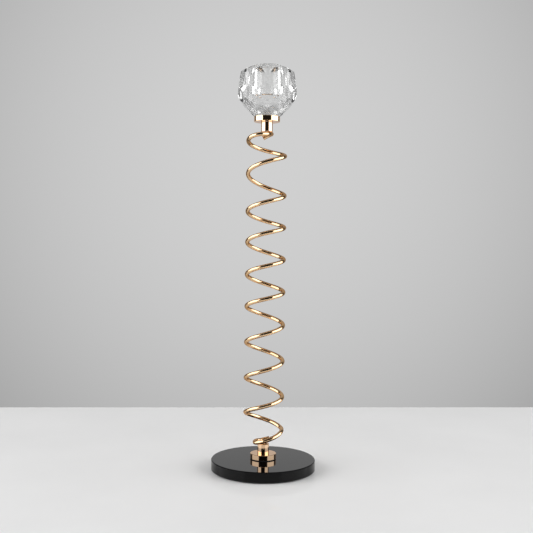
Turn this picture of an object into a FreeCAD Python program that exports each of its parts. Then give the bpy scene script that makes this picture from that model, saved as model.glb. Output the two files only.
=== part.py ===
"""A spiral candle holder: a faceted crystal bowl on a wound brass rod over a black glass base.

Frame: +Z up, origin on the table under the middle of the base. Seen from the front, one looks along +Y.
From the table up: pad, base disc, gasket, flange, lower stem, wound rod, upper stem, washer, plate and bowl.
"""

import math
import os

import FreeCAD
import Part
import Sketcher

# Driving sizes, in millimetres unless the name says otherwise
SIZES = (
    ("pad_radius", 46.0, "felt pad under the base"),
    ("pad_thick", 0.8, "pad thickness"),
    ("base_radius", 50.0, "black glass base disc"),
    ("base_thick", 10.0, "base disc thickness"),
    ("base_bevel", 0.6, "polished bevel on both edges of the base disc"),
    ("shank_play", 0.5, "radial clearance of the base screw in what it passes through"),
    ("pocket_radius", 10.0, "pocket under the base disc that hides the screw head"),
    ("pocket_depth", 5.6, "pocket depth"),
    ("cushion_radius", 8.5, "rubber cushion between the steel washer and the glass"),
    ("cushion_thick", 1.0, "cushion thickness"),
    ("washer_radius", 8.0, "steel washer under the screw head"),
    ("washer_thick", 1.2, "steel washer thickness"),
    ("thread_radius", 3.0, "nominal radius of the metric 6 thread"),
    ("thread_play", 0.05, "radial clearance of a threaded pair"),
    ("screw_length", 20.0, "base screw below its head"),
    ("head_radius", 5.6, "base screw head"),
    ("head_height", 3.1, "base screw head height"),
    ("head_round", 1.4, "rounding of the screw head"),
    ("drive_radius", 2.31, "corner radius of the six-sided key socket"),
    ("drive_depth", 2.0, "key socket depth"),
    ("gasket_radius", 12.1, "thin black gasket on the base disc"),
    ("gasket_thick", 0.5, "gasket thickness"),
    ("flange_radius", 12.45, "brass flange and bowl plate"),
    ("flange_thick", 5.0, "flange and plate thickness"),
    ("flange_bevel", 0.3, "bevel on flange and plate edges"),
    ("stem_radius", 5.55, "lower and upper stem"),
    ("stem_bevel", 0.25, "bevel at the stem ends"),
    ("lower_stem_length", 9.1, "lower stem between flange and rod"),
    ("upper_stem_length", 9.1, "upper stem between rod and washer"),
    ("spigot_radius", 4.2, "spigot of the lower stem in the flange"),
    ("spigot_length", 2.2, "spigot length"),
    ("spigot_play", 0.05, "radial clearance of the spigot"),
    ("coil_height", 298.9, "clear height between the two stems"),
    ("coil_radius", 17.6, "centreline radius of the wound rod"),
    ("rod_radius", 2.0, "radius of the wound rod"),
    ("braze_gap", 0.05, "braze film between the rod and each stem"),
    ("coil_eighths", 80.0, "eighth turns of the rod between its straight ends"),
    ("lower_tail_radius", 5.0, "centreline radius of the rod where it lies on the lower stem"),
    ("lower_round_sweep", 40.0, "degrees that it keeps that radius"),
    ("lower_open_sweep", 235.0, "degrees over which it then opens out to the coil"),
    ("lower_flat_sweep", 115.0, "degrees that it lies level from its lower end"),
    ("lower_rise_sweep", 105.0, "degrees over which it then takes up its full rise"),
    ("lower_bend", 0.5, "how far the lower end is bent up off the stem"),
    ("lower_bend_sweep", 45.0, "degrees over which it is bent"),
    ("lower_end_run", 6.0, "straight run at the lower end"),
    ("upper_tail_radius", 4.5, "centreline radius of the rod where it lies under the upper stem"),
    ("upper_round_sweep", 100.0, "degrees that it keeps that radius"),
    ("upper_open_sweep", 100.0, "degrees over which it opens out to the coil"),
    ("upper_flat_sweep", 100.0, "degrees that it lies level from its upper end"),
    ("upper_rise_sweep", 155.0, "degrees over which it takes up its full rise"),
    ("upper_bend", 1.5, "how far the upper end is bent down from the stem"),
    ("upper_bend_sweep", 70.0, "degrees over which it is bent"),
    ("upper_end_run", 4.0, "straight run at the upper end"),
    ("turn_lean", 1.3, "rise of one side of each turn over a level one"),
    ("lean_side", 245.0, "degrees from +X to the side that leans up"),
    ("washer_ring_radius", 5.2, "nylon washer between the upper stem and the plate"),
    ("washer_ring_thick", 0.3, "nylon washer thickness"),
    ("stud_grip", 7.0, "length of the stud in the upper stem"),
    ("stud_seat", 4.0, "length of the stud in the plate"),
    ("facets", 10.0, "facets in each row of the bowl"),
    ("bowl_height", 48.0, "bowl height"),
    ("bowl_foot", 11.6, "flat radius of the bowl's foot"),
    ("foot_spread", 1.25, "outward run per rise of the foot row"),
    ("lower_row_height", 10.8, "height where the lower row's radius is given"),
    ("lower_row_flat", 22.1, "flat radius of the lower row at that height"),
    ("lower_spread", 0.85, "outward run per rise of the lower row"),
    ("girdle_height", 20.6, "height of the widest corners"),
    ("girdle_radius", 28.0, "radius to the widest corners"),
    ("middle_spread", 0.34, "outward run per rise of the middle row"),
    ("wall_rim_flat", 24.5, "flat radius that the tall wall facets would have at the rim's height"),
    ("crown_rim_flat", 22.5, "flat radius that the crown row would have at the rim's height"),
    ("crown_spread", 0.35, "outward run per fall of the crown row"),
    ("lip_flat", 12.7, "flat radius of the narrow lip round the mouth, where the dome row ends"),
    ("dome_spread", 2.1, "outward run per fall of the dome row"),
    ("bore_radius", 11.75, "candle bore"),
    ("bore_depth", 28.2, "candle bore depth"),
    ("bore_bevel", 0.6, "bevel at the mouth of the bore"),
    ("overrun", 1.0, "how far every cut runs past the face it opens"),
)

# How far the hand-wound turns stand above or below even ones: shares of the coil's height, from low to high
STRETCH_SHARES = (
    (0.0, 0.0),
    (0.04, 0.006),
    (0.15, 0.007),
    (0.27, 0.013),
    (0.40, 0.021),
    (0.52, 0.014),
    (0.65, 0.008),
    (0.78, -0.004),
    (0.92, 0.015),
    (1.0, 0.0),
)

# How the rod opens out from a stem to the coil: powers of the share of the opening sweep
OPEN_SHARES = {"lower": 1.0, "upper": 3.0}

FULL_TURN = math.radians(360)
QUARTER = FULL_TURN / 4

doc = FreeCAD.newDocument("spiral_candle_holder")
sheet = doc.addObject("Spreadsheet::Sheet", "Sizes")
for row, (alias, value, words) in enumerate(SIZES, start=1):
    sheet.set(f"A{row}", alias)
    sheet.set(f"B{row}", str(value))
    sheet.set(f"C{row}", words)
    sheet.setAlias(f"B{row}", alias)
doc.recompute()


def size(alias):
    """The value of one cell of the sheet."""
    return float(getattr(sheet, alias))


def expr(words):
    """An expression in which every alias of the sheet is written as a cell of the sheet."""
    names = sorted((alias for alias, _, _ in SIZES), key=len, reverse=True)
    out, at = "", 0
    while at < len(words):
        match = next((n for n in names if words.startswith(n, at)), None)
        out += f"Sizes.{match}" if match else words[at]
        at += len(match) if match else 1
    return out


# Levels of the seats, from the table up, each written once as a sum of thicknesses
LEVEL = {"pad_top": "pad_thick"}
LEVEL["base_top"] = f"{LEVEL['pad_top']} + base_thick"
LEVEL["gasket_top"] = f"{LEVEL['base_top']} + gasket_thick"
LEVEL["flange_top"] = f"{LEVEL['gasket_top']} + flange_thick"
LEVEL["lower_stem_top"] = f"{LEVEL['flange_top']} + lower_stem_length"
LEVEL["upper_stem_foot"] = f"{LEVEL['lower_stem_top']} + coil_height"
LEVEL["upper_stem_top"] = f"{LEVEL['upper_stem_foot']} + upper_stem_length"
LEVEL["plate_foot"] = f"{LEVEL['upper_stem_top']} + washer_ring_thick"
LEVEL["plate_top"] = f"{LEVEL['plate_foot']} + flange_thick"
LEVEL["pocket_roof"] = f"{LEVEL['pad_top']} + pocket_depth"
LEVEL["cushion_foot"] = f"{LEVEL['pocket_roof']} - cushion_thick"
LEVEL["screw_seat"] = f"{LEVEL['cushion_foot']} - washer_thick"


# Helpers for turned pieces


def body(name):
    """An empty body for one turned piece."""
    return doc.addObject("PartDesign::Body", name)


def ring_sketch(owner, name, radius, level):
    """A circle about Z of that radius, on a level plane."""
    sketch = owner.newObject("Sketcher::SketchObject", name)
    plane = next(p for p in owner.Origin.OriginFeatures if p.Role == "XY_Plane")
    sketch.AttachmentSupport = (plane, [""])
    sketch.MapMode = "FlatFace"
    sketch.setExpression("AttachmentOffset.Base.z", expr(level))
    sketch.addGeometry(Part.Circle(), False)
    sketch.addConstraint(Sketcher.Constraint("Coincident", 0, 3, -1, 1))
    ring = sketch.addConstraint(Sketcher.Constraint("Radius", 0, size("rod_radius")))
    sketch.setExpression(f"Constraints[{ring}]", expr(radius))
    return sketch


def pad(owner, name, radius, level, length):
    """A round boss that stands on a level."""
    feature = owner.newObject("PartDesign::Pad", name)
    feature.Profile = ring_sketch(owner, name + "_ring", radius, level)
    feature.setExpression("Length", expr(length))
    doc.recompute()
    return feature


def pocket(owner, name, radius, level, length):
    """A round hole that is cut upwards from a level. It has to take something away."""
    before = owner.Shape.Volume
    feature = owner.newObject("PartDesign::Pocket", name)
    feature.Profile = ring_sketch(owner, name + "_ring", radius, level)
    feature.Reversed = True
    feature.setExpression("Length", expr(length))
    doc.recompute()
    if owner.Shape.Volume >= before:
        raise RuntimeError(f"{name} cuts nothing")
    return feature


def rim_edges(owner, radius, levels):
    """Names of the round edges of that radius at those levels."""
    near = size("overrun") / 100
    found = []
    for number, edge in enumerate(owner.Shape.Edges, start=1):
        if not isinstance(edge.Curve, Part.Circle):
            continue
        centre = edge.Curve.Center
        if abs(edge.Curve.Radius - radius) < near and min(abs(centre.z - z) for z in levels) < near:
            found.append(f"Edge{number}")
    if not found:
        raise RuntimeError(f"{owner.Name} has no round edge of radius {radius}")
    return found


def bevel(owner, name, radius, levels, width, kind="PartDesign::Chamfer", key="Size"):
    """A chamfer or a fillet on round edges of a body."""
    tip = owner.Tip
    edges = rim_edges(owner, value_of(radius), [value_of(level) for level in levels])
    feature = owner.newObject(kind, name)
    feature.Base = (tip, edges)
    feature.setExpression(key, expr(width))
    doc.recompute()
    return feature


def value_of(words):
    """The value of a sum of cells."""
    total, sign = 0.0, 1.0
    for term in words.split():
        if term in "+-":
            sign = 1.0 if term == "+" else -1.0
        else:
            total += sign * size(term)
    return total


# Base pad: a felt disc that covers the screw pocket
base_pad = body("base_pad")
pad(base_pad, "pad_disc", "pad_radius", "0 mm", "pad_thick")

# Base disc: black glass with a hole for the screw and a pocket for its head
base_disc = body("base_disc")
pad(base_disc, "disc", "base_radius", LEVEL["pad_top"], "base_thick")
bevel(base_disc, "disc_bevel", "base_radius", [LEVEL["pad_top"], LEVEL["base_top"]], "base_bevel")
pocket(
    base_disc,
    "head_pocket",
    "pocket_radius",
    LEVEL["pad_top"] + " - overrun",
    "pocket_depth + overrun",
)
pocket(
    base_disc,
    "screw_hole",
    "thread_radius + shank_play",
    LEVEL["pad_top"],
    "base_thick + overrun",
)

# Cushion and washer: they spread the screw's pull over the glass
screw_cushion = body("screw_cushion")
pad(screw_cushion, "cushion", "cushion_radius", LEVEL["cushion_foot"], "cushion_thick")
pocket(
    screw_cushion,
    "cushion_hole",
    "thread_radius + shank_play",
    LEVEL["cushion_foot"] + " - overrun",
    "cushion_thick + 2 * overrun",
)
base_washer = body("base_washer")
pad(base_washer, "washer", "washer_radius", LEVEL["screw_seat"], "washer_thick")
pocket(
    base_washer,
    "washer_hole",
    "thread_radius + shank_play",
    LEVEL["screw_seat"] + " - overrun",
    "washer_thick + 2 * overrun",
)

# Base screw: round head with a key socket, up through the base and the flange into the lower stem
base_screw = body("base_screw")
pad(base_screw, "head", "head_radius", LEVEL["screw_seat"] + " - head_height", "head_height")
bevel(
    base_screw,
    "head_rounding",
    "head_radius",
    [LEVEL["screw_seat"] + " - head_height"],
    "head_round",
    "PartDesign::Fillet",
    "Radius",
)
pad(base_screw, "shank", "thread_radius", LEVEL["screw_seat"], "screw_length")
bevel(base_screw, "point", "thread_radius", [LEVEL["screw_seat"] + " + screw_length"], "stem_bevel")
key_socket = base_screw.newObject("PartDesign::SubtractivePrism", "key_socket")
key_socket.Polygon = 6
key_socket.setExpression("Circumradius", expr("drive_radius"))
key_socket.setExpression("Height", expr("drive_depth + overrun"))
key_socket.setExpression(
    "AttachmentOffset.Base.z", expr(LEVEL["screw_seat"] + " - head_height - overrun")
)

# Gasket between the glass and the flange
foot_gasket = body("foot_gasket")
pad(foot_gasket, "gasket", "gasket_radius", LEVEL["base_top"], "gasket_thick")
pocket(
    foot_gasket,
    "gasket_hole",
    "thread_radius + shank_play",
    LEVEL["base_top"] + " - overrun",
    "gasket_thick + 2 * overrun",
)

# Flange: a turned brass disc with a seat for the stem's spigot
foot_flange = body("foot_flange")
pad(foot_flange, "flange", "flange_radius", LEVEL["gasket_top"], "flange_thick")
bevel(
    foot_flange,
    "flange_edges",
    "flange_radius",
    [LEVEL["gasket_top"], LEVEL["flange_top"]],
    "flange_bevel",
)
pocket(
    foot_flange,
    "flange_hole",
    "thread_radius + shank_play",
    LEVEL["gasket_top"] + " - overrun",
    "flange_thick + 2 * overrun",
)
pocket(
    foot_flange,
    "spigot_seat",
    "spigot_radius + spigot_play",
    LEVEL["flange_top"] + " - spigot_length - spigot_play",
    "spigot_length + spigot_play + overrun",
)

# Lower stem: a tapped tube that the base screw pulls down onto the flange
lower_stem = body("lower_stem")
pad(lower_stem, "lower_tube", "stem_radius", LEVEL["flange_top"], "lower_stem_length")
pad(lower_stem, "spigot", "spigot_radius", LEVEL["flange_top"] + " - spigot_length", "spigot_length")
bevel(lower_stem, "lower_stem_edge", "stem_radius", [LEVEL["lower_stem_top"]], "stem_bevel")
pocket(
    lower_stem,
    "lower_tapping",
    "thread_radius + thread_play",
    LEVEL["flange_top"] + " - spigot_length - overrun",
    "lower_stem_length + spigot_length + 2 * overrun",
)

# Upper stem: a tapped tube that takes the stud of the bowl plate
upper_stem = body("upper_stem")
pad(upper_stem, "upper_tube", "stem_radius", LEVEL["upper_stem_foot"], "upper_stem_length")
bevel(upper_stem, "upper_stem_edge", "stem_radius", [LEVEL["upper_stem_foot"]], "stem_bevel")
pocket(
    upper_stem,
    "upper_tapping",
    "thread_radius + thread_play",
    LEVEL["upper_stem_foot"] + " - overrun",
    "upper_stem_length + 2 * overrun",
)

# Washer between the upper stem and the plate, which keeps the bowl from working loose
bowl_washer = body("bowl_washer")
pad(bowl_washer, "nylon_ring", "washer_ring_radius", LEVEL["upper_stem_top"], "washer_ring_thick")
pocket(
    bowl_washer,
    "nylon_hole",
    "thread_radius + shank_play",
    LEVEL["upper_stem_top"] + " - overrun",
    "washer_ring_thick + 2 * overrun",
)

# Plate under the bowl, and the stud that screws it down
bowl_plate = body("bowl_plate")
pad(bowl_plate, "plate", "flange_radius", LEVEL["plate_foot"], "flange_thick")
bevel(
    bowl_plate,
    "plate_edges",
    "flange_radius",
    [LEVEL["plate_foot"], LEVEL["plate_top"]],
    "flange_bevel",
)
pocket(
    bowl_plate,
    "plate_tapping",
    "thread_radius + thread_play",
    LEVEL["plate_foot"] + " - overrun",
    "stud_seat + overrun",
)
bowl_stud = body("bowl_stud")
pad(
    bowl_stud,
    "stud",
    "thread_radius",
    LEVEL["upper_stem_top"] + " - stud_grip",
    "stud_grip + washer_ring_thick + stud_seat",
)
bevel(
    bowl_stud,
    "stud_point",
    "thread_radius",
    [LEVEL["upper_stem_top"] + " - stud_grip"],
    "stem_bevel",
)


# Crystal bowl: the space common to six rows of flat facets, with the candle bore cut from it


def polygon(name, flat_radius, level, turned):
    """A level polygon with one side per facet. Turned by half a facet, it has a corner at the front."""
    shape = doc.addObject("Part::RegularPolygon", name)
    shape.setExpression("Polygon", expr("facets"))
    shape.setExpression("Circumradius", f"({expr(flat_radius)}) / cos(180 deg / Sizes.facets)")
    shape.setExpression("Placement.Base.z", expr(level))
    if turned:
        shape.setExpression("Placement.Rotation.Angle", "180 deg / Sizes.facets")
    return shape


def facet_row(name, flat_radius_low, flat_radius_high, turned):
    """A ten-sided frustum as tall as the bowl, whose sides are one row of facets."""
    low = polygon(name + "_low", flat_radius_low, LEVEL["plate_top"], turned)
    high = polygon(name + "_high", flat_radius_high, LEVEL["plate_top"] + " + bowl_height", turned)
    row = doc.addObject("Part::Loft", name)
    row.Sections = [low, high]
    row.Solid = True
    row.Ruled = True
    return row


MIDDLE_FLAT = "girdle_radius * cos(180 deg / facets)"
WALL_SPREAD = "(girdle_radius - wall_rim_flat) / (bowl_height - girdle_height)"
rows = [
    facet_row("foot_row", "bowl_foot", "bowl_foot + foot_spread * bowl_height", False),
    facet_row(
        "lower_row",
        "lower_row_flat - lower_spread * lower_row_height",
        "lower_row_flat + lower_spread * (bowl_height - lower_row_height)",
        True,
    ),
    facet_row(
        "middle_row",
        f"{MIDDLE_FLAT} - middle_spread * girdle_height",
        f"{MIDDLE_FLAT} + middle_spread * (bowl_height - girdle_height)",
        False,
    ),
    facet_row(
        "wall_row",
        f"wall_rim_flat + {WALL_SPREAD} * bowl_height",
        "wall_rim_flat",
        True,
    ),
    facet_row("crown_row", "crown_rim_flat + crown_spread * bowl_height", "crown_rim_flat", False),
    facet_row("dome_row", "lip_flat + dome_spread * bowl_height", "lip_flat", False),
]
cut_block = doc.addObject("Part::MultiCommon", "cut_block")
cut_block.Shapes = rows
bore = doc.addObject("Part::Cylinder", "bore")
bore.setExpression("Radius", expr("bore_radius"))
bore.setExpression("Height", expr("bore_depth + overrun"))
bore.setExpression("Placement.Base.z", expr(LEVEL["plate_top"] + " + bowl_height - bore_depth"))
mouth = doc.addObject("Part::Cone", "mouth")
mouth.setExpression("Radius1", expr("bore_radius"))
mouth.setExpression("Radius2", expr("bore_radius + bore_bevel + overrun"))
mouth.setExpression("Height", expr("bore_bevel + overrun"))
mouth.setExpression("Placement.Base.z", expr(LEVEL["plate_top"] + " + bowl_height - bore_bevel"))
candle_space = doc.addObject("Part::Fuse", "candle_space")
candle_space.Base = bore
candle_space.Tool = mouth
crystal_bowl = doc.addObject("Part::Cut", "crystal_bowl")
crystal_bowl.Base = cut_block
crystal_bowl.Tool = candle_space


# Spiral: one round rod, wound right-handed, whose two ends curl in flat onto the stems


def eased(share):
    """0 to 1 with level ends."""
    return (1 - math.cos(math.pi * share)) / 2


def stretch(share):
    """Share of the coil's height by which a turn stands above an even one."""
    for (low, lift), (high, next_lift) in zip(STRETCH_SHARES, STRETCH_SHARES[1:]):
        if share <= high:
            return lift + (next_lift - lift) * eased((share - low) / (high - low))
    return 0.0


def held(end, name):
    """One of an end's sweeps in radians."""
    return math.radians(size(f"{end}_{name}_sweep"))


def leaving(end, turned, kept, over):
    """Share of the way, at that angle from an end, from the rod's course there to its course in the coil."""
    return min(max((turned - held(end, kept)) / held(end, over), 0.0), 1.0)


def drawn_in(end, turned):
    """How far inside the coil's radius the rod lies."""
    opened = leaving(end, turned, "round", "open") ** OPEN_SHARES[end]
    return (size("coil_radius") - size(f"{end}_tail_radius")) * (1 - opened)


def lag(end, turned):
    """Angle that the rod has turned from an end without rising."""
    taken_up = leaving(end, turned, "flat", "rise")
    risen = held(end, "rise") * taken_up**2 / 2
    risen += max(turned - held(end, "flat") - held(end, "rise"), 0.0)
    return turned - risen


def bent(end, turned):
    """How far the rod's end is bent away from its stem."""
    return size(f"{end}_bend") * max(1 - turned / held(end, "bend"), 0.0) ** 2


sweep = size("coil_eighths") * FULL_TURN / 8
coil_foot = value_of(LEVEL["lower_stem_top"] + " + braze_gap + rod_radius")
coil_rise = value_of("coil_height - braze_gap - braze_gap - rod_radius - rod_radius")
rise_per_radian = coil_rise / (sweep - lag("lower", sweep) - lag("upper", sweep))


def rod_point(turned):
    """The rod's centreline after it has turned by that angle from its lower end, at the back."""
    to_go = sweep - turned
    radius = size("coil_radius") - drawn_in("lower", turned) - drawn_in("upper", to_go)
    rise = rise_per_radian * (turned - lag("lower", turned))
    rise -= rise_per_radian * (lag("upper", sweep) - lag("upper", to_go))
    azimuth = FULL_TURN / 4 + turned
    free = eased(leaving("lower", turned, "flat", "rise")) * eased(leaving("upper", to_go, "flat", "rise"))
    lean = size("turn_lean") * free * math.cos(azimuth - math.radians(size("lean_side")))
    height = coil_foot + rise + lean + coil_rise * free * stretch(rise / coil_rise)
    height += bent("lower", turned) - bent("upper", to_go)
    return FreeCAD.Vector(radius * math.cos(azimuth), radius * math.sin(azimuth), height)


def rod_direction(turned):
    """Unit vector along the rod there."""
    step = FULL_TURN / 4000
    ahead = rod_point(min(turned + step, sweep))
    behind = rod_point(max(turned - step, 0))
    return (ahead - behind).normalize()


def arc(start, corner, end):
    """A round arc from start to end whose end tangents meet at the corner."""
    middle = (start + end) / 2
    half_chord = (end - start).Length / 2
    height = (corner - middle).Length
    sagitta = half_chord * math.tan(math.atan(height / half_chord) / 2)
    return Part.Arc(start, middle + (corner - middle) * (sagitta / height), end).toShape()


def biarc(start, start_way, end, end_way):
    """Two arcs that join smoothly, from one point and direction to another."""
    span = end - start
    both = start_way + end_way
    bend = 2 * (1 - start_way.dot(end_way))
    along = span.dot(both)
    reach = (math.sqrt(along**2 + bend * span.dot(span)) - along) / bend
    first = start + start_way * reach
    second = end - end_way * reach
    joint = (first + second) / 2
    return [arc(start, first, joint), arc(joint, second, end)]


eighths = int(round(size("coil_eighths")))
stations = [sweep * number / eighths for number in range(eighths + 1)]
points = [rod_point(station) for station in stations]
ways = [rod_direction(station) for station in stations]
rod_start = points[0] - ways[0] * size("lower_end_run")
rod_end = points[-1] + ways[-1] * size("upper_end_run")
edges = [Part.LineSegment(rod_start, points[0]).toShape()]
for number in range(eighths):
    edges += biarc(points[number], ways[number], points[number + 1], ways[number + 1])
edges.append(Part.LineSegment(points[-1], rod_end).toShape())
rod_path = Part.Wire(edges)
rod_section = Part.Wire([Part.Circle(rod_start, ways[0], size("rod_radius")).toShape()])
spiral = doc.addObject("Part::Feature", "spiral")
spiral.Shape = rod_path.makePipeShell([rod_section], True, False)

# Measures of the wound rod: its volume against its length, its tightest bend and its least gap to itself
rod_area = math.pi * size("rod_radius") ** 2
tightest = min(edge.Curve.Radius for edge in edges if isinstance(edge.Curve, Part.Circle))
samples = rod_path.discretize(Number=eighths * 12)
apart = 12
least = min(
    (samples[i] - samples[k]).Length
    for i in range(len(samples))
    for k in range(i + apart, len(samples))
) - 2 * size("rod_radius")
print(f"spiral: centreline {rod_path.Length:.1f} mm, pitch {rise_per_radian * FULL_TURN:.2f} mm")
print(f"spiral: volume over section times length {spiral.Shape.Volume / rod_area / rod_path.Length:.4f}")
print(f"spiral: tightest bend {tightest:.2f} mm, least gap to itself {least:.2f} mm")

# Check and write every piece
PIECES = (
    base_pad,
    base_disc,
    screw_cushion,
    base_washer,
    base_screw,
    foot_gasket,
    foot_flange,
    lower_stem,
    spiral,
    upper_stem,
    bowl_washer,
    bowl_plate,
    bowl_stud,
    crystal_bowl,
)
doc.recompute()
for item in doc.Objects:
    if "Invalid" in item.State or "Error" in item.State:
        raise RuntimeError(f"{item.Name} failed: {item.State}")
os.makedirs("parts", exist_ok=True)
for piece in PIECES:
    piece.Label = piece.Name
    shape = piece.Shape
    if shape.isNull() or not shape.isValid() or not shape.Solids:
        raise RuntimeError(f"{piece.Name} has no valid solid")
    shape.exportStep(f"parts/{piece.Label}.step")
    box = shape.BoundBox
    print(f"{piece.Label}: {shape.Volume:.0f} mm3, z {box.ZMin:.2f} to {box.ZMax:.2f}")
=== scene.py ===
# %% [markdown]
# # A spiral candle holder, dressed for its picture
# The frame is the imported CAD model: a felt pad, a black glass base, turned metal fittings, a wound
# metal rod and a crystal bowl. Its solids give the sizes of the part. This script adds what CAD
# leaves out: the camera, the light, the finish of each surface, and the few forms that are too fine
# for the solids, such as the threads and the polished cut edges.

# %% Load the frame
import math

import bmesh
import bpy
from mathutils import Matrix, Vector


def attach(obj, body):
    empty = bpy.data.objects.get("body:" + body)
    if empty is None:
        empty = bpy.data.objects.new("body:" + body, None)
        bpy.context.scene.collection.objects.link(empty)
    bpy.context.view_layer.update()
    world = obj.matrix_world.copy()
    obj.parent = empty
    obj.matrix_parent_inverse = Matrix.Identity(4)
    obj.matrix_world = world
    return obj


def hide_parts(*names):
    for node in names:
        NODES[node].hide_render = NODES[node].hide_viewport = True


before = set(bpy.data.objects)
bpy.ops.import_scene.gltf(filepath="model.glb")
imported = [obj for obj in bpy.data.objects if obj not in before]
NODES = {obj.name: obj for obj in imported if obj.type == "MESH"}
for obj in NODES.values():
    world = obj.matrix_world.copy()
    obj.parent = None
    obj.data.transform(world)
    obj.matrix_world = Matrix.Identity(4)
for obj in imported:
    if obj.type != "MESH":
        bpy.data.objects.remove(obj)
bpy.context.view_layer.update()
MM = 0.001

# %% [markdown]
# ## The camera
# The photographer stood close and only a little above the middle of the holder: the base shows its
# top, and the mouth of the bowl is seen almost edge on. A camera can be placed by eye, but three
# ellipses place it better. The top of the base, the lower flange and the rim of the bowl are
# circles of known size, so how flat each looks gives the height and distance of the lens. The
# holder also leans by about 0.7 degrees in the frame, which is set here as the camera's own roll.
# Blender counts a lens and its sensor in millimetres, and everything else in metres.

# %% Camera
LENS = 56.06
SENSOR = 36.0
CAMERA_DISTANCE = 0.795
CAMERA_HEIGHT = 0.2176
CAMERA_PITCH = math.radians(90 - 1.565)
CAMERA_ROLL = math.radians(-0.68)
CAMERA_YAW = math.radians(-0.063)

eye = bpy.data.cameras.new("eye")
eye.lens = LENS
eye.sensor_width = SENSOR
camera = bpy.data.objects.new("camera", eye)
camera.location = (0, -CAMERA_DISTANCE, CAMERA_HEIGHT)
camera.rotation_euler = (CAMERA_PITCH, CAMERA_ROLL, CAMERA_YAW)
bpy.context.scene.collection.objects.link(camera)
bpy.context.scene.camera = camera
bpy.context.scene.view_settings.view_transform = "Standard"
print("camera", round(CAMERA_DISTANCE, 3), "m from the holder's axis")

# %% [markdown]
# ## Small helpers for nodes
# A procedural finish is a small network of nodes. Building one in code is mostly making a node,
# setting its numbers and joining it to the next, so these helpers do only that. The numbers that
# are the same all over a surface go straight into the shader's own sockets.


# %% Node helpers
def shader_of(name, **sockets):
    """A new material with one Principled shader whose sockets are set by their names."""
    finish = bpy.data.materials.new(name)
    finish.use_nodes = True
    shader = finish.node_tree.nodes["Principled BSDF"]
    for socket, value in sockets.items():
        shader.inputs[socket.replace("_", " ")].default_value = value
    return finish, finish.node_tree, shader


def add(tree, kind, **sockets):
    """A node of a kind, with its unlinked sockets set by their names."""
    node = tree.nodes.new("ShaderNode" + kind)
    for socket, value in sockets.items():
        node.inputs[socket.replace("_", " ")].default_value = value
    return node


def feed(tree, value, socket):
    """Sets a socket to a number or a colour, or joins another node's output to it."""
    if isinstance(value, (int, float, tuple)):
        socket.default_value = value
    else:
        tree.links.new(value, socket)


def reckon(tree, operation, *values):
    """The result of one Math node on numbers and other nodes' outputs."""
    node = add(tree, "Math")
    node.operation = operation
    for value, socket in zip(values, node.inputs):
        feed(tree, value, socket)
    return node.outputs["Value"]


def mixed(tree, share, first, second, kind="FLOAT"):
    """The first value or colour, moved towards the second by the given share."""
    mix = add(tree, "Mix")
    mix.data_type = kind
    input_number, output_number = {"FLOAT": (2, 0), "RGBA": (6, 2)}[kind]
    feed(tree, share, mix.inputs[0])
    feed(tree, first, mix.inputs[input_number])
    feed(tree, second, mix.inputs[input_number + 1])
    return mix.outputs[output_number]


# %% [markdown]
# ## Patterns
# Nothing real is the same all over. A noise pattern that lives in the object's own metres can drive
# the colour, the roughness or the relief of a surface, and stays put on it when the piece moves.
# Painted image textures would need files and an unwrapped mesh, and noise needs neither.


# %% Pattern helpers
def pattern(tree, scale, detail=2.0, roughness=0.5, stretch=(1, 1, 1), kind="TexNoise"):
    """A noise pattern in the object's own metres, stretched along the axes."""
    place = add(tree, "TexCoord")
    mapping = add(tree, "Mapping", Scale=stretch)
    noise = add(tree, kind, Scale=scale)
    tree.links.new(place.outputs["Object"], mapping.inputs["Vector"])
    tree.links.new(mapping.outputs["Vector"], noise.inputs["Vector"])
    if kind == "TexNoise":
        noise.inputs["Detail"].default_value = detail
        noise.inputs["Roughness"].default_value = roughness
    return noise.outputs[0]


def distance(tree, centre=(0, 0, 0), axes=(1, 1, 1)):
    """How far a point of the surface is from a centre, counted along the chosen axes."""
    place = add(tree, "TexCoord")
    centred = add(tree, "Mapping", Location=[-value for value in centre], Scale=axes)
    length = add(tree, "VectorMath")
    length.operation = "LENGTH"
    tree.links.new(place.outputs["Object"], centred.inputs["Vector"])
    tree.links.new(centred.outputs["Vector"], length.inputs[0])
    return length.outputs["Value"]


def spread(tree, source, low, high, start=0.3, stop=0.7):
    """A pattern's value between start and stop, spread over low to high."""
    node = add(tree, "MapRange")
    tree.links.new(source, node.inputs["Value"])
    for socket, value in zip(("From Min", "From Max", "To Min", "To Max"), (start, stop, low, high)):
        node.inputs[socket].default_value = value
    return node.outputs["Result"]


def blend_colours(tree, source, first, second, start=0.3, stop=0.7):
    """A colour that goes from first to second with a pattern."""
    ramp = add(tree, "ValToRGB")
    ramp.color_ramp.elements[0].position = start
    ramp.color_ramp.elements[0].color = (*first, 1)
    ramp.color_ramp.elements[1].position = stop
    ramp.color_ramp.elements[1].color = (*second, 1)
    tree.links.new(source, ramp.inputs["Fac"])
    return ramp.outputs["Color"]


def paint(tree, shader, source, colours, between=(0.3, 0.7)):
    """Colours a surface from the first colour to the second with a pattern."""
    feed(tree, blend_colours(tree, source, *colours, *between), shader.inputs["Base Color"])


def dull(tree, shader, source, roughness, between=(0.3, 0.7)):
    """Varies a surface's roughness from the first number to the second with a pattern."""
    feed(tree, spread(tree, source, *roughness, *between), shader.inputs["Roughness"])


def relief(tree, shader, source, height):
    """Raises the surface by a pattern times a height in metres, after any relief already there."""
    bump = add(tree, "Bump", Strength=1.0, Distance=height)
    tree.links.new(source, bump.inputs["Height"])
    before = shader.inputs["Normal"].links
    if before:
        tree.links.new(before[0].from_socket, bump.inputs["Normal"])
    tree.links.new(bump.outputs["Normal"], shader.inputs["Normal"])


def wear(finish, *nodes):
    """Gives a finish to CAD nodes in place of their plain packed colour."""
    for name in nodes:
        NODES[name].material_slots[0].material = finish
    print(finish.name, "on", ", ".join(nodes))


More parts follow.
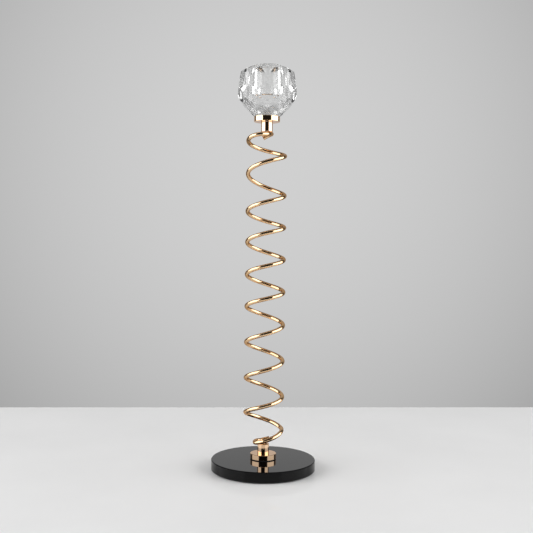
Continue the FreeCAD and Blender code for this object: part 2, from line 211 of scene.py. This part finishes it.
# %% [markdown]
# ## The table
# The holder stands on a white table with a polished top. A single curved sweep of table and wall
# would be simpler, but the photo shows the table's back edge as a level line, so the two are
# separate. The edge is cut a little askew, which makes it look level to the tilted camera. The table
# is an ordinary surface, so that it keeps the holder's shadow and its faint mirror image.

# %% Table
TABLE_BACK = 0.306
TABLE_FRONT = -0.62
TABLE_SIDE = 1.5
TABLE_THICKNESS = 0.03
TABLE_BEVEL = 1.5 * MM
TABLE_TURN = math.radians(3.4)
TABLE_GRAIN = 9
TABLE_SMEARS = 40
TABLE_COLOURS = (0.80, 0.80, 0.80), (0.83, 0.83, 0.83)
TABLE_DULLNESS = 0.012, 0.03


def bevelled(form, edges, width, segments):
    """Bevels edges of a bmesh, with the settings that the editor's own bevel has."""
    bmesh.ops.bevel(
        form, geom=edges, offset=width, segments=segments, profile=0.5, affect="EDGES", material=-1
    )


def settle(form, name, smooth=False):
    """Turns a finished bmesh into an object at the origin and links it to the scene."""
    mesh = bpy.data.meshes.new(name)
    form.to_mesh(mesh)
    form.free()
    if smooth:
        mesh.polygons.foreach_set("use_smooth", [True] * len(mesh.polygons))
    piece = bpy.data.objects.new(name, mesh)
    bpy.context.scene.collection.objects.link(piece)
    return piece


def slab(name, low, high, bevel):
    """A box between two corners with bevelled edges."""
    form = bmesh.new()
    bmesh.ops.create_cube(form, size=1)
    size = [b - a for a, b in zip(low, high)]
    centre = [(a + b) / 2 for a, b in zip(low, high)]
    bmesh.ops.scale(form, vec=size, verts=form.verts)
    bmesh.ops.translate(form, vec=centre, verts=form.verts)
    bevelled(form, form.edges[:], bevel, 3)
    return settle(form, name)


table = slab(
    "table",
    (-TABLE_SIDE, TABLE_FRONT, -TABLE_THICKNESS),
    (TABLE_SIDE, TABLE_BACK, 0),
    TABLE_BEVEL,
)
for vertex in table.data.vertices:
    if vertex.co.y > 0:
        vertex.co.y += vertex.co.x * math.tan(TABLE_TURN)
white, tree, shader = shader_of("table_white", IOR=1.12)
paint(tree, shader, pattern(tree, TABLE_GRAIN, 3), TABLE_COLOURS)
dull(tree, shader, pattern(tree, TABLE_SMEARS, 3), TABLE_DULLNESS)
table.data.materials.append(white)
print("table", TABLE_BACK - TABLE_FRONT, "m deep")

# %% [markdown]
# ## The wall
# The wall behind is grey and lightest straight behind the holder. Lamps could light it like that,
# but they would light the holder as well. Instead it gives its own soft glow to everything that
# looks at it, straight, by reflection or through the crystal, and adds no light to the holder. Far
# out at the sides its mirror image is almost black, as if black cards stood there, which gives the
# metal its dark outlines.

# %% Wall
WALL_DISTANCE = 1.0
WALL_THICKNESS = 0.02
WALL_SIDE = 2.2
WALL_FOOT = -1.0
WALL_TOP = 2.4
WALL_BEVEL = 1 * MM
GLOW_HEIGHT = 0.419
GLOW = 0.63
GLOW_FALL = 0.363
GLOW_EDGE = 0.38
GLOW_EDGE_MIRRORED = 0.10


def seen_by(tree, *rays):
    """One where a ray of any of the named kinds looks, and nought elsewhere."""
    path = add(tree, "LightPath")
    total = path.outputs[rays[0]]
    for ray in rays[1:]:
        total = reckon(tree, "MAXIMUM", total, path.outputs[ray])
    return total


wall = slab(
    "wall",
    (-WALL_SIDE, WALL_DISTANCE, WALL_FOOT),
    (WALL_SIDE, WALL_DISTANCE + WALL_THICKNESS, WALL_TOP),
    WALL_BEVEL,
)
grey, tree, shader = shader_of("wall_grey", Base_Color=(0.55, 0.55, 0.55, 1), Roughness=0.9)
square = reckon(tree, "POWER", distance(tree, (0, 0, GLOW_HEIGHT), (1, 0, 1)), 2)
fall = reckon(tree, "MULTIPLY_ADD", square, -GLOW_FALL, GLOW)
direct = seen_by(tree, "Is Camera Ray", "Is Transmission Ray")
more = GLOW_EDGE - GLOW_EDGE_MIRRORED
edge = reckon(tree, "MULTIPLY_ADD", direct, more, GLOW_EDGE_MIRRORED)
glow = add(tree, "Emission")
feed(tree, reckon(tree, "MAXIMUM", fall, edge), glow.inputs["Strength"])
choice = add(tree, "MixShader")
looked_at = seen_by(tree, "Is Camera Ray", "Is Glossy Ray", "Is Transmission Ray")
feed(tree, looked_at, choice.inputs["Fac"])
feed(tree, shader.outputs["BSDF"], choice.inputs[1])
feed(tree, glow.outputs["Emission"], choice.inputs[2])
feed(tree, choice.outputs["Shader"], tree.nodes["Material Output"].inputs["Surface"])
wall.data.materials.append(grey)
print("wall", WALL_DISTANCE, "m behind the holder's axis")

# %% [markdown]
# ## The room and the two soft lights
# Polished metal and cut glass show mostly their surroundings, so the room matters more here than
# the lamps. In the photo, every rounded metal piece shows the same picture: a black band straight
# towards the camera, a broad white panel at each side of it, and a tan rim from ceiling and table.
# So the room is dim above, dark behind the camera, and holds two tall soft panels. The dark part
# reaches high up, because the black patches on the sloping rod are almost as tall as the rod.
#
# A photographer darkens one reflection with a black card and leaves the rest of the light alone.
# The light path does the same here: only reflections and the crystal see the dark part, while dull
# surfaces such as the table get an even level, which keeps the table pale right up to the base.
# The direction of a reflection off a cylinder turns twice as fast as its surface, which gives each
# panel's place: from 39 degrees beside the camera to 112 degrees.

# %% Room
DIM = 0.26
DARK = 0.012
DARK_ENDS = -0.80, -0.72
DARK_SQUEEZE = 0.45
BACKDROP = 0.60
FILL = 0.345
SEEN_THROUGH = 0.5

room = bpy.data.worlds.new("room")
room.use_nodes = True
bpy.context.scene.world = room
tree = room.node_tree
direction = add(tree, "TexCoord")
tall = add(tree, "Mapping", Scale=(1, 1, DARK_SQUEEZE))
unit = add(tree, "VectorMath")
unit.operation = "NORMALIZE"
parts = add(tree, "SeparateXYZ")
tree.links.new(direction.outputs["Generated"], tall.inputs["Vector"])
tree.links.new(tall.outputs["Vector"], unit.inputs[0])
tree.links.new(unit.outputs["Vector"], parts.inputs["Vector"])
reflected = spread(tree, parts.outputs["Y"], DARK, DIM, *DARK_ENDS)
through = reckon(tree, "MULTIPLY", seen_by(tree, "Is Transmission Ray"), SEEN_THROUGH)
level = mixed(tree, seen_by(tree, "Is Glossy Ray", "Is Transmission Ray"), FILL, reflected)
level = mixed(tree, through, level, BACKDROP)
level = mixed(tree, seen_by(tree, "Is Camera Ray"), level, BACKDROP)
background = tree.nodes["Background"]
background.inputs["Color"].default_value = (1, 1, 1, 1)
feed(tree, level, background.inputs["Strength"])
print("room: reflections see", DARK, "behind the camera and", DIM, "elsewhere")

# %% Soft panels
PANEL_AZIMUTH = math.radians(75.5)
PANEL_HALF_ANGLE = math.radians(36.5)
PANEL_DISTANCE = 1.1
PANEL_WIDTH = 2 * PANEL_DISTANCE * math.tan(PANEL_HALF_ANGLE)
PANEL_HEIGHT = 1.25
PANEL_MIDDLE = 0.56
PANEL_POWER = 17.5

for side in (-1, 1):
    light = bpy.data.lights.new("soft_panel", "AREA")
    light.shape = "RECTANGLE"
    light.size = PANEL_WIDTH
    light.size_y = PANEL_HEIGHT
    light.energy = PANEL_POWER
    panel = bpy.data.objects.new("soft_panel", light)
    place = Vector((side * math.sin(PANEL_AZIMUTH), -math.cos(PANEL_AZIMUTH), 0)) * PANEL_DISTANCE
    panel.location = place + Vector((0, 0, PANEL_MIDDLE))
    panel.rotation_euler = place.to_track_quat("Z", "Y").to_euler()
    panel.visible_camera = False
    bpy.context.scene.collection.objects.link(panel)
    print("panel at", [round(value, 3) for value in panel.location])

# %% [markdown]
# ## Champagne gold
# The flanges, stems and rod are plated in a pale rose gold and polished. One flat metal would do
# from afar, but plating is never even: its colour drifts a little, wiping leaves faint dull
# patches, and a rod that was wound by hand keeps shallow ripples that break up its reflections.
# Those three things are three noise patterns, on colour, roughness and relief. The fittings were
# turned on a lathe instead, so theirs is a second relief of fine level rings. A metal shader also
# has a tint for the grazing rim, and a browner one gives the rod its dark outline.
#
# Plating wears off first where hands and cloths meet an edge, and duller brass shows there. All the
# edges are circles round the holder's axis, so two distances find them: how far a point is from the
# axis, and how high it is. A coarse noise breaks the worn band into patches.

# %% Gold on the turned fittings
ROSE_COLOURS = (0.83, 0.575, 0.37), (0.87, 0.62, 0.42)
ROSE_RIM = (0.92, 0.84, 0.80, 1)
ROSE_DULLNESS = 0.035, 0.075
BRASS = (0.74, 0.52, 0.28, 1)
BRASS_DULLNESS = 0.24
COLOUR_DRIFT = 60
WIPING = 350
WORN_PATCHES = 450
WORN_BETWEEN = 0.48, 0.60
POLISH_WAVES = 260
POLISH_DEPTH = 0.004 * MM
LATHE_RINGS = 300
RING_STRETCH = (1, 1, 25)
RING_DEPTH = 0.0015 * MM
EDGE_BAND = 0.32 * MM
FLANGE_RADIUS = 12.45 * MM
STEM_RADIUS = 5.55 * MM
EDGE_HEIGHTS = [height * MM for height in (11.3, 16.3, 25.4, 324.3, 333.4, 333.7, 338.7)]


def from_axis(tree):
    """How far a point of the surface is from the holder's axis."""
    return distance(tree, axes=(1, 1, 0))


def near_any(tree, source, values, band):
    """One where a distance is within a band of any of the values, and nought elsewhere."""
    total = reckon(tree, "COMPARE", source, values[0], band)
    for value in values[1:]:
        total = reckon(tree, "MAXIMUM", total, reckon(tree, "COMPARE", source, value, band))
    return total


gold, tree, shader = shader_of("champagne_gold", Metallic=1.0, Specular_Tint=ROSE_RIM)
place = add(tree, "TexCoord")
parts = add(tree, "SeparateXYZ")
tree.links.new(place.outputs["Object"], parts.inputs["Vector"])
at_radius = near_any(tree, from_axis(tree), (FLANGE_RADIUS, STEM_RADIUS), EDGE_BAND)
at_height = near_any(tree, parts.outputs["Z"], EDGE_HEIGHTS, EDGE_BAND)
at_edge = reckon(tree, "MULTIPLY", at_radius, at_height)
patches = spread(tree, pattern(tree, WORN_PATCHES, 3), 0.0, 1.0, *WORN_BETWEEN)
worn = reckon(tree, "MULTIPLY", at_edge, patches)
drift = blend_colours(tree, pattern(tree, COLOUR_DRIFT, 2), *ROSE_COLOURS)
feed(tree, mixed(tree, worn, drift, BRASS, "RGBA"), shader.inputs["Base Color"])
wiped = spread(tree, pattern(tree, WIPING, 4), *ROSE_DULLNESS)
feed(tree, mixed(tree, worn, wiped, BRASS_DULLNESS), shader.inputs["Roughness"])
relief(tree, shader, pattern(tree, POLISH_WAVES, 1), POLISH_DEPTH)
relief(tree, shader, pattern(tree, LATHE_RINGS, 2, stretch=RING_STRETCH), RING_DEPTH)
wear(gold, "foot_flange", "lower_stem", "upper_stem", "bowl_plate")

# %% Gold on the wound rod
ROD_COLOURS = (0.81, 0.55, 0.315), (0.86, 0.61, 0.375)
ROD_RIM = (0.56, 0.42, 0.32, 1)
ROD_DULLNESS = 0.035, 0.08
RIPPLES = 220
RIPPLE_DEPTH = 0.014 * MM

wound, tree, shader = shader_of("wound_gold", Metallic=1.0, Specular_Tint=ROD_RIM)
paint(tree, shader, pattern(tree, COLOUR_DRIFT, 2), ROD_COLOURS)
dull(tree, shader, pattern(tree, WIPING, 4), ROD_DULLNESS)
relief(tree, shader, pattern(tree, RIPPLES, 2), RIPPLE_DEPTH)
wear(wound, "spiral")

# %% [markdown]
# ## Cut crystal
# The bowl is clear crystal with flat polished facets. Its look comes from refraction alone, so the
# shader is fully transmissive with the index of crystal, and next to no roughness. The candle bore
# is different: its wall is drilled and only brushed clean, so it is slightly dull, which hides the
# back of the bowl and turns the bore into a soft white cup. The distance from the bowl's axis finds
# that wall, and a trace of uneven polish keeps the facets from looking like computer glass.

# %% Crystal
CRYSTAL_COLOURS = (0.985, 0.99, 0.985), (1, 1, 1)
CRYSTAL_DRIFT = 50
FACET_WAVES = 120
FACET_DEPTH = 0.002 * MM
BORE_RADIUS = 11.75 * MM
BORE_DULLNESS = 0.2
BORE_BAND = 0.1 * MM

crystal, tree, shader = shader_of("cut_crystal", IOR=1.54, Transmission_Weight=1.0)
paint(tree, shader, pattern(tree, CRYSTAL_DRIFT, 2), CRYSTAL_COLOURS)
at_bore = near_any(tree, from_axis(tree), (BORE_RADIUS,), BORE_BAND)
feed(tree, reckon(tree, "MULTIPLY", at_bore, BORE_DULLNESS), shader.inputs["Roughness"])
relief(tree, shader, pattern(tree, FACET_WAVES, 1), FACET_DEPTH)
print("crystal: the bore's wall is dull within", BORE_BAND / MM, "mm of its radius")

# %% [markdown]
# ## Polished cut edges
# The wheel that polishes the facets also takes the knife edge off where two facets meet, and those
# narrow strips catch the light as bright lines. The CAD solid has sharp edges, so a copy of its
# mesh is merged, its triangles are joined into whole facets, and every outer edge gets a narrow
# bevel. The bore's many narrow strips stay, shaded smooth. The photo shows a row of warm glints at
# the bore's floor, as a rounding left by the drill's tip would give, so the floor gets one. The
# real bowl is glued to its plate, so a hair of space below the foot keeps glass and metal apart;
# without it the gold would not show through the crystal at all.

# %% Bowl with polished edges
MERGE = 0.001 * MM
SAME_FACET = math.radians(0.5)
CUT_EDGE = 0.14 * MM
CUT_EDGE_FROM = BORE_RADIUS + 1.0 * MM
FOOT_HEIGHT = 338.7 * MM
FOOT_LIFT = 0.03 * MM
FLOOR_HEIGHT = 358.5 * MM
FLOOR_BAND = 0.01 * MM
FLOOR_FROM = BORE_RADIUS - 0.2 * MM
FLOOR_ROUND = 2.4 * MM
UPRIGHT = 0.1


def out(point):
    """How far a point of a mesh is from the holder's axis."""
    return math.hypot(*point.xy)


def on_floor(vertex):
    """Whether a corner of the mesh lies on the outer edge of the bore's floor."""
    return abs(vertex.co.z - FLOOR_HEIGHT) < FLOOR_BAND and out(vertex.co) > FLOOR_FROM


form = bmesh.new()
form.from_mesh(NODES["crystal_bowl"].data)
bmesh.ops.remove_doubles(form, verts=form.verts, dist=MERGE)
bmesh.ops.dissolve_limit(form, angle_limit=SAME_FACET, verts=form.verts, edges=form.edges)
for vertex in form.verts:
    vertex.co.z = max(vertex.co.z, FOOT_HEIGHT + FOOT_LIFT)
cuts = [edge for edge in form.edges if all(out(v.co) > CUT_EDGE_FROM for v in edge.verts)]
bevelled(form, cuts, CUT_EDGE, 1)
corner = [edge for edge in form.edges if all(on_floor(vertex) for vertex in edge.verts)]
bevelled(form, corner, FLOOR_ROUND, 5)
bowl = settle(form, "cut_bowl")
for face in bowl.data.polygons:
    on_wall = BORE_RADIUS - BORE_BAND < out(face.center) < BORE_RADIUS
    face.use_smooth = on_wall and abs(face.normal.z) < UPRIGHT
bowl.data.materials.clear()
bowl.data.materials.append(crystal)
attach(bowl, "bowl")
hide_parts("crystal_bowl")
print("cut bowl:", len(bowl.data.polygons), "faces,", len(cuts), "polished edges")

# %% [markdown]
# ## Black glass
# The base is black glass, ground and polished flat. Its top looks grey in the photo only because
# it mirrors the wall at a low angle, so the colour itself is nearly black and the reflection does
# the rest. Faint wiping marks vary the roughness.

# %% Black glass
GLASS_COLOURS = (0.001, 0.001, 0.0012), (0.003, 0.003, 0.0032)
GLASS_DUST = 900
GLASS_WIPING = 18
GLASS_DULLNESS = 0.02, 0.05

black, tree, shader = shader_of("black_glass", IOR=1.27)
paint(tree, shader, pattern(tree, GLASS_DUST, 4, 0.7), GLASS_COLOURS, (0.5, 0.8))
dull(tree, shader, pattern(tree, GLASS_WIPING, 4, 0.6, (1, 3, 1)), GLASS_DULLNESS)
wear(black, "base_disc")

# %% [markdown]
# ## Rubber, felt, steel and nylon
# These are the working parts inside and below. Rubber is dull with a fine moulded skin. Felt is
# pressed fibre, so it gets a sheen and two crossing fibre patterns. Zinc-plated steel shows pale
# spangles, and nylon is a milky plastic with slight turning marks.

# %% Rubber
RUBBER_COLOURS = (0.010, 0.010, 0.011), (0.020, 0.020, 0.021)
RUBBER_DULLNESS = 0.55, 0.75
RUBBER_SKIN = 2500
RUBBER_DEPTH = 0.02 * MM

rubber, tree, shader = shader_of("black_rubber", Specular_IOR_Level=0.15)
skin = pattern(tree, RUBBER_SKIN, 3)
paint(tree, shader, skin, RUBBER_COLOURS)
dull(tree, shader, skin, RUBBER_DULLNESS)
relief(tree, shader, skin, RUBBER_DEPTH)
wear(rubber, "foot_gasket", "screw_cushion")

# %% Felt
FELT_COLOURS = (0.022, 0.022, 0.025), (0.075, 0.075, 0.082)
FELT_FIBRES = 700
FELT_DEPTH = 0.15 * MM

felt, tree, shader = shader_of("black_felt", Roughness=1.0, Sheen_Weight=0.4, Sheen_Roughness=0.5)
along = pattern(tree, FELT_FIBRES, 4, 0.7, (1, 6, 1))
across = pattern(tree, FELT_FIBRES, 4, 0.7, (6, 1, 1))
fibre = reckon(tree, "MAXIMUM", along, across)
paint(tree, shader, fibre, FELT_COLOURS, (0.4, 0.75))
relief(tree, shader, fibre, FELT_DEPTH)
wear(felt, "base_pad")

# %% Steel
STEEL_COLOURS = (0.55, 0.56, 0.58), (0.68, 0.68, 0.68)
STEEL_DULLNESS = 0.22, 0.36
STEEL_SPANGLES = 900
SPANGLE_BETWEEN = 0.1, 0.6
STEEL_GRAIN = 1500
STEEL_DEPTH = 0.006 * MM

steel, tree, shader = shader_of("zinc_steel", Metallic=1.0)
spangle = pattern(tree, STEEL_SPANGLES, kind="TexVoronoi")
paint(tree, shader, spangle, STEEL_COLOURS, SPANGLE_BETWEEN)
dull(tree, shader, spangle, STEEL_DULLNESS, SPANGLE_BETWEEN)
relief(tree, shader, pattern(tree, STEEL_GRAIN, 2), STEEL_DEPTH)
wear(steel, "base_washer", "base_screw", "bowl_stud")

# %% Nylon
NYLON_COLOURS = (0.84, 0.83, 0.78), (0.91, 0.90, 0.86)
NYLON_MILK = 400
NYLON_MARKS = 1800
NYLON_DEPTH = 0.01 * MM

nylon, tree, shader = shader_of("natural_nylon", Roughness=0.42)
paint(tree, shader, pattern(tree, NYLON_MILK, 3), NYLON_COLOURS)
relief(tree, shader, pattern(tree, NYLON_MARKS, 2), NYLON_DEPTH)
wear(nylon, "bowl_washer")

# %% [markdown]
# ## Screw threads
# The bowl is screwed on, and the thread shows as soon as it is turned up a few times. CAD keeps
# both threads as plain cylinders at their outer size, which is the usual shorthand. A real thread is
# one ridge wound round a thinner core, so each CAD mesh is copied and slimmed to the core, and a
# small tapered section is spun up along the axis, one pitch for each full turn.

# %% Threads
THREAD_RADIUS = 3.0 * MM
THREAD_SLACK = 0.1 * MM
CORE_RADIUS = 2.42 * MM
PITCH = 1.0 * MM
RIDGE_STEPS = 24
RIDGE_CREST = 0.16
RIDGE_ROOT = 0.92
RIDGE_SUNK = 0.05 * MM


def threaded(node, name, body, foot, top):
    """A copy of a CAD fastener with a real thread between two heights."""
    form = bmesh.new()
    form.from_mesh(NODES[node].data)
    bmesh.ops.remove_doubles(form, verts=form.verts, dist=MERGE)
    for vertex in form.verts:
        radius = out(vertex.co)
        in_thread = vertex.co.z > foot - THREAD_SLACK
        if in_thread and CORE_RADIUS < radius < THREAD_RADIUS + THREAD_SLACK:
            vertex.co.xy *= CORE_RADIUS / radius
    ridge = bmesh.ops.create_grid(form, x_segments=1, y_segments=1, size=0.5)["verts"]
    for vertex in ridge:
        at_crest = vertex.co.x > 0
        width = RIDGE_CREST if at_crest else RIDGE_ROOT
        vertex.co.z = foot + PITCH / 2 + vertex.co.y * PITCH * width
        vertex.co.x = THREAD_RADIUS if at_crest else CORE_RADIUS - RIDGE_SUNK
        vertex.co.y = 0
    turns = (top - foot) / PITCH - 1
    section = {face for vertex in ridge for face in vertex.link_faces}
    edges = {edge for vertex in ridge for edge in vertex.link_edges}
    bmesh.ops.delete(form, geom=list(section), context="FACES_ONLY")
    bmesh.ops.spin(
        form,
        geom=ridge + list(edges),
        cent=(0, 0, 0),
        axis=(0, 0, 1),
        dvec=(0, 0, PITCH / RIDGE_STEPS),
        angle=math.tau * turns,
        steps=round(turns * RIDGE_STEPS),
    )
    bmesh.ops.holes_fill(form, edges=[edge for edge in form.edges if edge.is_boundary], sides=0)
    bmesh.ops.recalc_face_normals(form, faces=form.faces)
    piece = settle(form, name)
    piece.data.materials.clear()
    piece.data.materials.append(steel)
    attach(piece, body)
    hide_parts(node)
    print(name, len(piece.data.polygons), "faces,", round(turns, 1), "turns")


threaded("bowl_stud", "stud_with_thread", "bowl", 326.6 * MM, 337.6 * MM)
threaded("base_screw", "screw_with_thread", "stand", 10.0 * MM, 24.0 * MM)

# %% [markdown]
# ## Brazing at the two ends of the rod
# The rod only rests on its stems, so on the real piece a drop of brazing metal holds each end. The
# melted metal creeps a little out of a joint and sets as a small rounded lip. A flattened ball,
# pressed between rod and stem and turned along the rod, gives that lip at both ends.

# %% Brazing
DROP_SIZE = (1.5 * MM, 2.6 * MM, 0.4 * MM)


def braze(name, azimuth, radius, height):
    """A flattened drop of brazing metal at a place given by angle, radius and height."""
    drop = bmesh.new()
    bmesh.ops.create_uvsphere(drop, u_segments=24, v_segments=12, radius=1)
    bmesh.ops.scale(drop, vec=DROP_SIZE, verts=drop.verts)
    bmesh.ops.translate(drop, vec=(radius, 0, height), verts=drop.verts)
    turn = Matrix.Rotation(math.radians(azimuth), 3, "Z")
    bmesh.ops.rotate(drop, cent=(0, 0, 0), matrix=turn, verts=drop.verts)
    piece = settle(drop, name, smooth=True)
    piece.data.materials.append(wound)
    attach(piece, "stand")
    print(name, "at", azimuth, "degrees")


braze("lower_braze", 142, 4.4 * MM, 25.4 * MM)
braze("upper_braze", 8, 4.2 * MM, 324.3 * MM)
